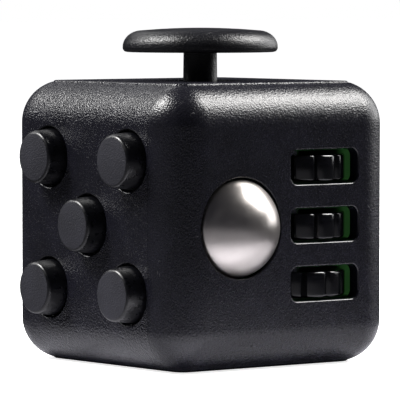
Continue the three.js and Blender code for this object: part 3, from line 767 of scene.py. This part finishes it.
def make_joystick_stem():
    foot, head = span("joystick_stem", 2)
    pivot = middle("joystick_cross_pin")[2]
    boss, boss_half, pin_hole = 2.2, 0.9, 0.6
    profile = [(PINHOLE, foot), (1.3, foot), (1.9, foot + 0.4)]
    profile += [(boss, pivot - boss_half), (boss, pivot + boss_half)]
    profile += [(2.05, pivot + 1.5), (1.95, head), (PINHOLE, head)]
    stem = turned("joystick_stem_piece", profile)
    cut(stem, turned("pin_hole", [(pin_hole, -4), (pin_hole, 4)], "y", (0, 0, pivot), 32))
    finished(stem, CONTROL, "controls", "joystick", "joystick_stem")


# ------------------------------------------------------------------ rocker and dial


def make_rocker():
    """A shallow V with rounded ends, modelled half way between its stops and then tipped."""
    pivot_x, rest_tilt = 14.4, math.radians(8)
    half_height, half_width, end_x, middle_x = 6.8, 3.5, 17.59, 16.7
    side_round, pin_hole = 0.35, 0.7
    face = []
    for i in range(33):
        v = -1 + i / 16
        dip = (end_x - middle_x) * (1 - math.cos(v * math.pi / 2))
        corner = max(0.0, abs(v) - 0.9) / 0.1
        face.append((v * half_height, middle_x + dip - 0.5 * corner ** 2))
    back = [(6.6, 15), (2.2, 15), (1.5, 13.2), (0.9, 12.7)]
    back += [(-z, x) for z, x in reversed(back)]
    outline = face + back
    sides = []
    for inset, depth in reversed(edge_round(side_round, 4)):
        sides.append((inset, -half_width + depth))
    for inset, depth in edge_round(side_round, 4):
        sides.append((inset, half_width - depth))
    rings = []
    for inset, along in sides:
        ring = []
        for z, x in outline:
            shrink_z = 1 - inset / half_height
            deeper = inset if x > 15.5 else 0
            ring.append((z * shrink_z, x - deeper, along))
        rings.append(ring)
    rocker = loft("rocker_piece", rings, "y")
    cut(rocker, turned("pin_hole", [(pin_hole, -5), (pin_hole, 5)], "y", (pivot_x, 0, 0), 32))
    cosine, sine = math.cos(rest_tilt), math.sin(rest_tilt)
    for point in rocker.data.vertices:
        x, z = point.co.x / MM - pivot_x, point.co.z / MM
        point.co.x = (pivot_x + x * cosine + z * sine) * MM
        point.co.z = (MID_Z + z * cosine - x * sine) * MM
    finished(rocker, CONTROL, "controls", "rocker", "rocker")


def fluted_ring(radius, along):
    count = DIAL_FLUTES * 10
    ring = []
    for i in range(count):
        angle = i * TAU / count
        reach = radius - DIAL_FLUTE_DEPTH * (0.5 + 0.5 * math.cos(angle * DIAL_FLUTES)) ** 3
        ring.append((reach * math.cos(angle), reach * math.sin(angle), along))
    return ring


def make_dial():
    """A skirt with a hub behind it, and a fluted grip with a dimple for the finger."""
    top = span("dial", 1)[1]
    skirt, skirt_top, knob = 9.5, 17.9, 7.2
    screw_hole, hub, hub_back, hub_front = 1.1, 2.6, 13.3, 14.8
    profile = [(screw_hole, hub_back), (2.0, hub_back), (2.0, hub_front), (hub, hub_front)]
    profile += [(hub, HALF + 0.3), (skirt - 0.2, HALF + 0.3), (skirt, HALF + 0.5)]
    profile += [(skirt - inset, skirt_top - depth) for inset, depth in edge_round(0.6, 6)]
    profile += [(PINHOLE, skirt_top), (PINHOLE, 17.6), (screw_hole, 17.6)]
    dial = turned("dial_piece", profile, "y", (0, 0, MID_Z), 128, closed=True)
    rings = [fluted_ring(knob + 0.25, skirt_top - 0.1), fluted_ring(knob + 0.05, skirt_top + 0.2)]
    rings += [fluted_ring(knob - inset, top - depth) for inset, depth in edge_round(0.45, 5)]
    combine(dial, loft("grip", rings, "y", (0, 0, MID_Z)), "UNION")
    cut(dial, round_ball("dimple", (5.0,) * 3, (0, top + 4.1, MID_Z + 3.6), 20))
    finished(without_slivers(dial), CONTROL, "controls", "dial", "dial")


# ------------------------------------------------------------------ springs


def make_spring(node_name, axis, radius, wire, turns, pushed_by=None):
    """A round-wire coil in the place of a CAD coil.

    It stands on the case; one that a body pushes is tied to no body.
    """
    along = "xyz".index(axis)
    low, high = span(node_name, along)
    place = middle(node_name)
    place[along] = 0
    per_turn, sides = 24, 10
    steps = turns * per_turn
    rings = []
    for i in range(steps + 1):
        angle = i * TAU / per_turn
        height = low + wire + (high - low - 2 * wire) * i / steps
        ring = []
        for k in range(sides):
            side = k * TAU / sides
            reach = radius + wire * math.cos(side)
            rise = wire * math.sin(side)
            ring.append((reach * math.cos(angle), reach * math.sin(angle), height + rise))
        rings.append(ring)
    made = loft(node_name + "_piece", rings, axis, place)
    body = "case" if pushed_by is None else None
    finished(made, WIRE, "spring_steel", body, node_name, sharp_degrees=60)
    if pushed_by is not None:
        start, end = list(place), list(place)
        start[along], end[along] = high - wire, low + 2 * wire
        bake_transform(made)


def make_springs():
    wire = 0.2
    for place in BUTTON_PLACES:
        make_spring("button_spring_" + place, "x", 1.8, wire, 4, "button_" + place)
    make_spring("ball_spring", "y", 1.5, wire, 3, "ball_cup")
    make_spring("centring_spring", "z", 1.7, wire, 4)


# ------------------------------------------------------------------ CAD nodes that stay as they are


def dress_cad_nodes():
    """Gives the shown CAD nodes the material that goes with their slot in the record."""
    finish_of = {"inner_plastic": GREY, "fasteners": ZINC, "spring_steel": WIRE}
    for entry in frame["record"]["subparts"]:
        cad = frame["nodes"][entry["node"]]
        material = finish_of.get(entry["material_slot"])
        if material is not None and not cad.hide_render:
            for used in cad.material_slots:
                used.material = material


# ------------------------------------------------------------------ camera, floor and light

# How far the floor goes from the cube, and its height just under the cube, in millimetres.
FLOOR_REACH = 4000
FLOOR_Z = -0.03
# From this far and to this far in metres, from this value and to this value.
FLOOR_GLOW = (0.03, 0.25, 0.8, 1.0)
# Painted light: a pool on one side and a brighter patch close round the cube, painted into the floor's
# colour.
LIGHT_POOL_PAINT = (0.18, 0.30, 0.15, 0.02)
LIGHT_POOL_PAINT_CENTRE = (-0.20, -0.16, 0)
NEAR_LIGHT_PAINT = (0.019, 0.05, 0.86, 0.0)
NEAR_LIGHT_PAINT_CENTRE = (0.004, -0.006, 0)
LIGHT_PAINT_TINT = (0.97, 0.965, 1.05)
ROOM_LIGHT = 0.035


def direction(azimuth, elevation):
    """From the cube towards a point at that azimuth (0 is in front of -Y, 90 beyond +X), in degrees."""
    a, e = math.radians(azimuth), math.radians(elevation)
    return Vector((math.sin(a) * math.cos(e), -math.cos(a) * math.cos(e), math.sin(e)))


# The camera's lens and place in millimetres, and the azimuth and elevation that it looks from.
LENS = 367.5
CAMERA_PLACE = (-295.41, -380.67, 43.77)
CAMERA_ANGLES = (-37.81, 2.96)


def make_camera():
    lens = bpy.data.cameras.new("camera")
    lens.sensor_width = 36
    lens.lens = LENS
    lens.clip_start, lens.clip_end = 0.01, 20
    camera = bpy.data.objects.new("camera", lens)
    camera.location = Vector(CAMERA_PLACE) * MM
    camera.rotation_mode = "QUATERNION"
    camera.rotation_quaternion = (-direction(*CAMERA_ANGLES)).to_track_quat("-Z", "Y")
    bpy.context.scene.collection.objects.link(camera)
    bpy.context.scene.camera = camera


def seen_by_camera(tree, seen, otherwise):
    """One shader for what the camera sees of the studio, and another for what lights the cube."""
    ray = node(tree, "ShaderNodeLightPath")
    mix = node(tree, "ShaderNodeMixShader")
    tree.links.new(ray.outputs["Is Camera Ray"], mix.inputs["Fac"])
    tree.links.new(otherwise, mix.inputs[1])
    tree.links.new(seen, mix.inputs[2])
    return mix.outputs[0]


def make_floor():
    """A white table top that lets the light under it through.

    For the light it throws on the cube its colour is painted light: a pool on one side and a
    brighter patch close round the cube. From below it is clear.
    """
    material, tree, shader = new_material("pale_floor")
    cloud = noise(tree, 0.01, 2)
    tree.links.new(ramp(tree, cloud, 0.88, 0.9), shader.inputs["Base Color"])
    shader.inputs["Roughness"].default_value = 0.9
    shader.inputs["Emission Color"].default_value = (1, 1, 1, 1)
    place = node(tree, "ShaderNodeTexCoord")

    def by_distance(limits, centre):
        far = node(tree, "ShaderNodeVectorMath", operation="DISTANCE")
        far.inputs[1].default_value = centre
        tree.links.new(place.outputs["Object"], far.inputs[0])
        step = node(tree, "ShaderNodeMapRange", interpolation_type="SMOOTHSTEP")
        tree.links.new(far.outputs["Value"], step.inputs["Value"])
        for socket, value in zip(("From Min", "From Max", "To Min", "To Max"), limits):
            step.inputs[socket].default_value = value
        return step.outputs["Result"]

    tree.links.new(by_distance(FLOOR_GLOW, (0, 0, 0)), shader.inputs["Emission Strength"])
    lit = node(tree, "ShaderNodeBsdfDiffuse")
    # Painted light: the floor's colour for the light it throws on the cube is the sum of the painted
    # pools.
    painted_pools = node(tree, "ShaderNodeMath", operation="ADD")
    tree.links.new(by_distance(LIGHT_POOL_PAINT, LIGHT_POOL_PAINT_CENTRE), painted_pools.inputs[0])
    tree.links.new(by_distance(NEAR_LIGHT_PAINT, NEAR_LIGHT_PAINT_CENTRE), painted_pools.inputs[1])
    tinted = node(tree, "ShaderNodeVectorMath", operation="SCALE")
    tinted.inputs[0].default_value = LIGHT_PAINT_TINT
    tree.links.new(painted_pools.outputs[0], tinted.inputs["Scale"])
    tree.links.new(tinted.outputs[0], lit.inputs["Color"])
    surface = seen_by_camera(tree, shader.outputs[0], lit.outputs[0])
    ray = node(tree, "ShaderNodeLightPath")
    side = node(tree, "ShaderNodeNewGeometry")
    open_to = node(tree, "ShaderNodeMath", operation="MAXIMUM")
    tree.links.new(ray.outputs["Is Shadow Ray"], open_to.inputs[0])
    tree.links.new(side.outputs["Backfacing"], open_to.inputs[1])
    mix = node(tree, "ShaderNodeMixShader")
    clear = node(tree, "ShaderNodeBsdfTransparent")
    tree.links.new(open_to.outputs[0], mix.inputs["Fac"])
    tree.links.new(surface, mix.inputs[1])
    tree.links.new(clear.outputs[0], mix.inputs[2])
    tree.links.new(mix.outputs[0], tree.nodes["Material Output"].inputs["Surface"])
    sides = ((-1, -1), (1, -1), (1, 1), (-1, 1))
    corners = [(side_x * FLOOR_REACH, side_y * FLOOR_REACH, FLOOR_Z) for side_x, side_y in sides]
    floor = mesh_object("floor", corners, [(0, 1, 2, 3)])
    floor.data.materials.append(material)


def soft_light(name, azimuth, elevation, distance, width, height, brightness, colour=(1, 1, 1)):
    """A rectangular soft box that looks at the cube, with its brightness per unit of its area."""
    light = bpy.data.lights.new(name, "AREA")
    light.shape = "RECTANGLE"
    light.size, light.size_y = width, height
    light.energy = brightness * math.pi * width * height
    light.color = colour
    holder = bpy.data.objects.new(name, light)
    aim = direction(azimuth, elevation)
    holder.location = aim * distance + Vector((0, 0, MID_Z * MM))
    holder.rotation_mode = "QUATERNION"
    holder.rotation_quaternion = aim.to_track_quat("Z", "Y")
    holder.visible_camera = False
    bpy.context.scene.collection.objects.link(holder)


def make_lights():
    soft_light("right_box", 70, 46, 0.5, 0.25, 0.25, 18, (1, 0.985, 0.965))
    soft_light("right_halo", 68, 42, 0.52, 0.38, 0.34, 1.5)
    soft_light("right_fill", 88, 17, 0.5, 0.42, 0.26, 3.2)
    soft_light("left_box", -130, 50, 0.6, 0.21, 0.24, 36, (1, 0.99, 0.975))
    soft_light("left_back_box", -152, 26, 0.6, 0.18, 0.14, 7.5)
    soft_light("back_box", 170, 38, 0.7, 0.40, 0.20, 1.6)
    soft_light("light_table", 0, -89.9, 0.2, 0.30, 0.30, 0.7, (0.95, 0.94, 1))
    world = bpy.data.worlds.new("studio")
    world.use_nodes = True
    bpy.context.scene.world = world
    tree = world.node_tree
    room = tree.nodes["Background"]
    room.inputs["Color"].default_value = (0.8, 0.82, 1, 1)
    room.inputs["Strength"].default_value = ROOM_LIGHT
    white = node(tree, "ShaderNodeBackground", Color=(1, 1, 1, 1), Strength=1.0)
    surface = seen_by_camera(tree, white.outputs[0], room.outputs[0])
    tree.links.new(surface, tree.nodes["World Output"].inputs["Surface"])
    bpy.context.scene.view_settings.view_transform = "Standard"


make_camera()
make_floor()
make_lights()
make_casing()
make_covers()
make_buttons()
make_ball()
make_wheels()
make_housing()
make_joystick_cap()
make_joystick_stem()
make_rocker()
make_dial()
make_springs()
dress_cad_nodes()
